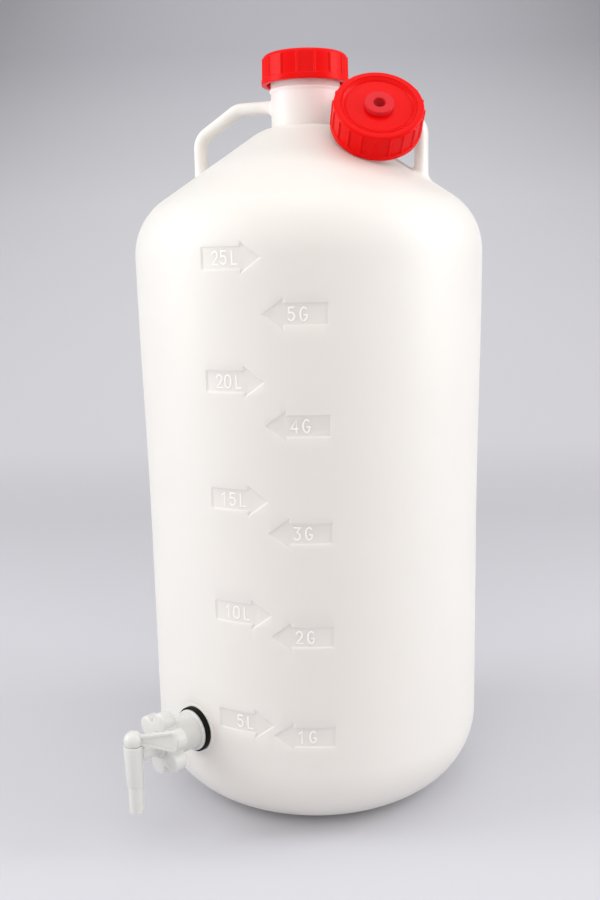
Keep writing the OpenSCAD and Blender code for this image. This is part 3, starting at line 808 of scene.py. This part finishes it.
GASKET_R, GASKET_T = 17.5, 4
gasket_profile = rounded([(BORE_R, 0), (GASKET_R, 0), (GASKET_R, GASKET_T), (BORE_R, GASKET_T)], 0.6)
gasket_profile.append((BORE_R, GASKET_T / 2))
dressed(turned("gasket_ring", gasket_profile, at_port, 128), gasket_black, "carboy", "gasket", "port_gasket")

LOBE_N, NUT_R, LOBE_R, GRIP_AT, GRIP_LEN, LOBE_TURN = 6, 25.0, 7.5, 27.0, 10.5, 54.0
LOBE_C = NUT_R - LOBE_R
LOBE_EASE = 14  # the higher, the sharper the valleys between the lobes


def lobe_reach(a, inset):
    """The grip's radius, with its valleys eased into the lobes."""
    b = (a % (360 / LOBE_N)) - 180 / LOBE_N
    square = LOBE_R ** 2 - (LOBE_C * sin(b)) ** 2
    lobe = LOBE_C * cos(b) + math.sqrt(square) if square > 0 else 0
    return (LOBE_C ** LOBE_EASE + lobe ** LOBE_EASE) ** (1 / LOBE_EASE) * 0.998 - inset


def nut_mesh():
    """The nut: a flange and a hub, with the lobed grip at its outer end."""
    steps = 180
    hub, flange = 13.3, 16.0
    body = rounded([(BORE_R, GASKET_T), (flange, GASKET_T), (flange, 6.2), (hub, 6.3), (hub, GRIP_AT)], 0.5)
    body += [(hub, GRIP_AT + 1), (BORE_R, GRIP_AT + 1)]
    nut = turned("nut", body, at_port)
    rings = []
    for z, inset in ((0, 1.4), (0.25, 0.7), (0.7, 0.22), (1.4, 0), (GRIP_LEN / 2, 0), (GRIP_LEN - 1.4, 0),
                     (GRIP_LEN - 0.7, 0.22), (GRIP_LEN - 0.25, 0.7), (GRIP_LEN, 1.4)):
        around = [(360 * i / steps, lobe_reach(360 * i / steps, inset)) for i in range(steps)]
        rings.append([(r * cos(a + LOBE_TURN), r * sin(a + LOBE_TURN), GRIP_AT + z) for a, r in around])
    verts, faces = lofted(rings)
    combine(nut, make("grip", placed(verts, at_port), faces), "UNION")
    combine(nut, turned("hole", [(0, 2), (BORE_R, 2), (BORE_R, 40), (0, 40)], at_port), "DIFFERENCE")
    nut.name = "lobed_nut"
    clean(nut)
    return nut


dressed(nut_mesh(), tap_white, "carboy", "tap", "jam_nut")

REACH, BARREL_R, FLOW_R, SLEEVE_TOP, SLEEVE_LOW = 60.0, 7.0, 3.5, 7.5, 6.3
SLEEVE_UP, SLEEVE_DOWN, SPOUT_R, SPOUT_BORE, SPOUT_DOWN = 8.0, 23.5, 5.5, 3.8, 45.0
PLUG_TOP, PLUG_LOW, HEAD_GAP = 5.0, 4.3, 0.3
at_spout = Matrix.Translation((0, -PORT_FACE - REACH, PORT_H))


def tap_mesh():
    """The tap's body, with the shank and barrel out of the port and the sleeve and spout across their end."""
    shank_in, shank_end, barrel_end = -14, 39.0, REACH - 4
    body = turned("tap", rounded([(0, shank_in), (SHANK_R, shank_in), (SHANK_R, shank_end),
                                  (BARREL_R, shank_end + 0.5), (BARREL_R, barrel_end), (0, barrel_end)], 0.5),
                  at_port)
    sleeve = rounded([(0, -SLEEVE_DOWN), (SLEEVE_LOW, -SLEEVE_DOWN), (SLEEVE_TOP, SLEEVE_UP),
                      (0, SLEEVE_UP)], 0.5)
    combine(body, turned("sleeve", sleeve, at_spout), "UNION")
    spout = rounded([(0, -SPOUT_DOWN), (SPOUT_R, -SPOUT_DOWN), (SPOUT_R, -SLEEVE_DOWN + 1),
                     (0, -SLEEVE_DOWN + 1)], 0.6)
    combine(body, turned("spout", spout, at_spout), "UNION")
    flow = [(0, -20), (FLOW_R, -20), (FLOW_R, REACH), (0, REACH)]
    combine(body, turned("flow", flow, at_port), "DIFFERENCE")
    seat = [(0, -SLEEVE_DOWN + 3), (PLUG_LOW + RUN_GAP, -SLEEVE_DOWN + 3),
            (PLUG_TOP + RUN_GAP, SLEEVE_UP + 0.1), (0, SLEEVE_UP + 0.1)]
    combine(body, turned("seat", seat, at_spout), "DIFFERENCE")
    mouth = [(0, -SPOUT_DOWN - 1), (SPOUT_BORE + 0.5, -SPOUT_DOWN - 1), (SPOUT_BORE, -SPOUT_DOWN + 0.5),
             (SPOUT_BORE, -SLEEVE_DOWN + 4), (0, -SLEEVE_DOWN + 4)]
    combine(body, turned("mouth", mouth, at_spout), "DIFFERENCE")
    body.name = "tap_moulding"
    clean(body)
    return body


dressed(tap_mesh(), tap_white, "carboy", "tap", "tap_body")

HEAD_R, LEVER_LEN, LEVER_LOW, LEVER_END = 7.1, 33.0, 8.0, 15.8
LEVER_T, LEVER_RIM, LEVER_WEB, LEVER_TURN, LEVER_EDGE = 3.4, 2.0, 1.2, 36.0, 0.45
LEVER_ROOT = SLEEVE_TOP + 1


def lever_outline(inset):
    """The flag lever's outline from the side, wider at its far end."""
    near, far = HEAD_R * 0.6 + inset * 1.5, LEVER_LEN - inset
    low, high = LEVER_LOW / 2 - inset, LEVER_END / 2 - inset
    corner = 2.4 - inset * 0.6
    return ([(near, -low), (LEVER_ROOT, -low)] + arc(far - corner, -high + corner, corner, -84, 0, 6)
            + arc(far - corner, high - corner, corner, 0, 84, 6) + [(LEVER_ROOT, low), (near, low)])


def prism(name, outline, low, high, move):
    """A solid with one outline between two heights."""
    rings = [[(x, y, z) for x, y in outline] for z in (low, high)]
    verts, faces = lofted(rings)
    return make(name, placed(verts, move), faces)


def key_mesh():
    """The key: the flag lever with its recesses, the domed head, and the plug with its window."""
    move = at_spout @ Matrix.Rotation(math.radians(LEVER_TURN), 4, "Z")
    lever_z = SLEEVE_UP + HEAD_GAP + LEVER_LOW / 2
    stand = move @ Matrix.Translation((0, 0, lever_z)) @ Matrix.Rotation(math.radians(90), 4, "X")
    key = prism("key", lever_outline(0), -LEVER_T / 2, LEVER_T / 2, stand)
    for low, high in ((LEVER_WEB / 2, 3), (-3, -LEVER_WEB / 2)):
        combine(key, prism("recess", lever_outline(LEVER_RIM), low, high, stand), "DIFFERENCE")
    clean(key)
    edge = key.modifiers.new("edge", "BEVEL")
    edge.width, edge.segments, edge.limit_method = LEVER_EDGE * MM, 3, "ANGLE"
    edge.angle_limit = math.radians(40)
    apply_modifiers(key)
    head_z = SLEEVE_UP + HEAD_GAP
    dome_z = head_z + 3.5
    head = rounded([(0, head_z), (HEAD_R - 0.5, head_z), (HEAD_R, dome_z)], 0.5)
    head += [(HEAD_R * cos(a), dome_z + HEAD_R * sin(a)) for a in range(8, 90, 8)] + [(0, dome_z + HEAD_R)]
    combine(key, turned("head", head, move), "UNION")
    plug = [(0, -SLEEVE_DOWN + 3.2), (PLUG_LOW, -SLEEVE_DOWN + 3.2), (PLUG_TOP, SLEEVE_UP),
            (PLUG_TOP, head_z + 0.5), (0, head_z + 0.5)]
    combine(key, turned("plug", plug, move), "UNION")
    hollow = [(0, -SLEEVE_DOWN), (PLUG_LOW - 1.5, -SLEEVE_DOWN), (PLUG_LOW - 1.5, FLOW_R), (0, FLOW_R)]
    combine(key, turned("hollow", hollow, move), "DIFFERENCE")
    side = move @ Matrix.Rotation(math.radians(180), 4, "Z") @ Matrix.Rotation(math.radians(90), 4, "Y")
    combine(key, turned("window", [(0, 0), (3, 0), (3, 10), (0, 10)], side), "DIFFERENCE")
    key.name = "key_moulding"
    clean(key, 30)
    return key


dressed(key_mesh(), tap_white, "key", "tap", "tap_key")


# ------------------------------------------------------------ floor, backdrop and lights

# painted shade on the sweep: its colour by height in metres, darker towards the top as in the photograph
SWEEP_PAINTED_SHADE = ((0.0, 0.595), (0.06, 0.66), (0.35, 0.65), (0.6, 0.635), (0.86, 0.55), (1.0, 0.485))
CORNER_PAINTED_SHADE = 0.4  # painted shade: how much the upper corners darken, at one metre up and one metre out
PAINTED_SHADE_MOST = 0.33  # the most that the painted shade darkens them, further out than the photograph shows
SWEEP_HALF, SWEEP_R, FLOOR_END = 3.5, 1.1, 0.9


def backdrop():
    """A pale sweep: a floor that curves up behind, seen from the photograph's side, with painted shade darker
    towards its top and upper corners.
    """
    section = [(y, 0.0) for y in (-2.5, -1.0, 0.0, 0.6, FLOOR_END)]
    section += [(FLOOR_END + SWEEP_R * sin(a), SWEEP_R * (1 - cos(a))) for a in range(10, 91, 10)]
    section += [(FLOOR_END + SWEEP_R, 1.6), (FLOOR_END + SWEEP_R, 3.2)]
    verts = [(x / MM, y / MM, z / MM) for y, z in section for x in (-SWEEP_HALF, SWEEP_HALF)]
    faces = [[2 * i, 2 * i + 1, 2 * i + 3, 2 * i + 2] for i in range(len(section) - 1)]
    sweep = make("sweep", verts, faces, sharp=80)
    sweep.matrix_world = turn.to_4x4()
    mat = bpy.data.materials.new("paper")
    mat.use_nodes = True
    nodes, links = mat.node_tree.nodes, mat.node_tree.links
    shader = nodes["Principled BSDF"]
    shader.inputs["Roughness"].default_value = 0.9
    shader.inputs["Specular IOR Level"].default_value = 0.1
    coords = nodes.new("ShaderNodeTexCoord")
    split = nodes.new("ShaderNodeSeparateXYZ")
    ramp = nodes.new("ShaderNodeValToRGB")
    links.new(coords.outputs["Object"], split.inputs["Vector"])
    links.new(split.outputs["Z"], ramp.inputs["Fac"])
    stops = ramp.color_ramp.elements
    stops[1].position = 1.0
    for height, _ in SWEEP_PAINTED_SHADE[1:-1]:
        stops.new(height)
    for stop, (_, tone) in zip(stops, SWEEP_PAINTED_SHADE):
        stop.color = (tone, tone * 0.997, tone + 0.035, 1)
    # painted shade in the upper corners, growing with height times distance out
    corner = maths(nodes, links, "MULTIPLY", split.outputs["X"], split.outputs["Z"])
    fall = maths(nodes, links, "MULTIPLY", corner, corner)
    shade = nodes.new("ShaderNodeMapRange")
    shade.inputs["From Max"].default_value = PAINTED_SHADE_MOST / CORNER_PAINTED_SHADE
    shade.inputs["To Min"].default_value = 1
    shade.inputs["To Max"].default_value = 1 - PAINTED_SHADE_MOST
    links.new(fall, shade.inputs["Value"])
    shaded = nodes.new("ShaderNodeVectorMath")
    shaded.operation = "SCALE"
    links.new(ramp.outputs["Color"], shaded.inputs[0])
    links.new(shade.outputs["Result"], shaded.inputs["Scale"])
    links.new(shaded.outputs["Vector"], shader.inputs["Base Color"])
    sweep.data.materials.append(mat)


backdrop()


def softbox(name, direction, elevation, distance, size, power, colour, height):
    """A soft lamp that looks at the tank's axis at the given height."""
    lamp = bpy.data.lights.new(name, "AREA")
    lamp.shape = "RECTANGLE"
    lamp.size, lamp.size_y = size
    lamp.energy = power
    lamp.color = colour
    obj = bpy.data.objects.new(name, lamp)
    bpy.context.scene.collection.objects.link(obj)
    back = Vector((sin(direction) * cos(elevation), -cos(direction) * cos(elevation), sin(elevation)))
    target = Vector((0, 0, height))
    obj.location = target + back * distance
    obj.rotation_mode = "QUATERNION"
    obj.rotation_quaternion = (target - obj.location).to_track_quat("-Z", "Y")


COOL, WARM = (0.95, 0.98, 1.0), (1.0, 0.93, 0.84)
for name, side in (("left_box", -82), ("right_box", 82)):
    softbox(name, VIEW_DIR + side, 20, 1.5, (0.7, 1.3), 11.5, COOL, 0.34)
softbox("top_box", VIEW_DIR, 80, 1.3, (0.9, 0.8), 2.35, COOL, 0.5)
softbox("front_box", VIEW_DIR, 28, 1.6, (1.4, 1.0), 3.6, WARM, 0.36)

world = bpy.data.worlds.new("world")
bpy.context.scene.world = world
world.use_nodes = True
sky = world.node_tree.nodes["Background"]
sky.inputs["Color"].default_value = (1.0, 0.985, 0.965, 1)
sky.inputs["Strength"].default_value = 0.84

bpy.context.scene.view_settings.view_transform = "Standard"
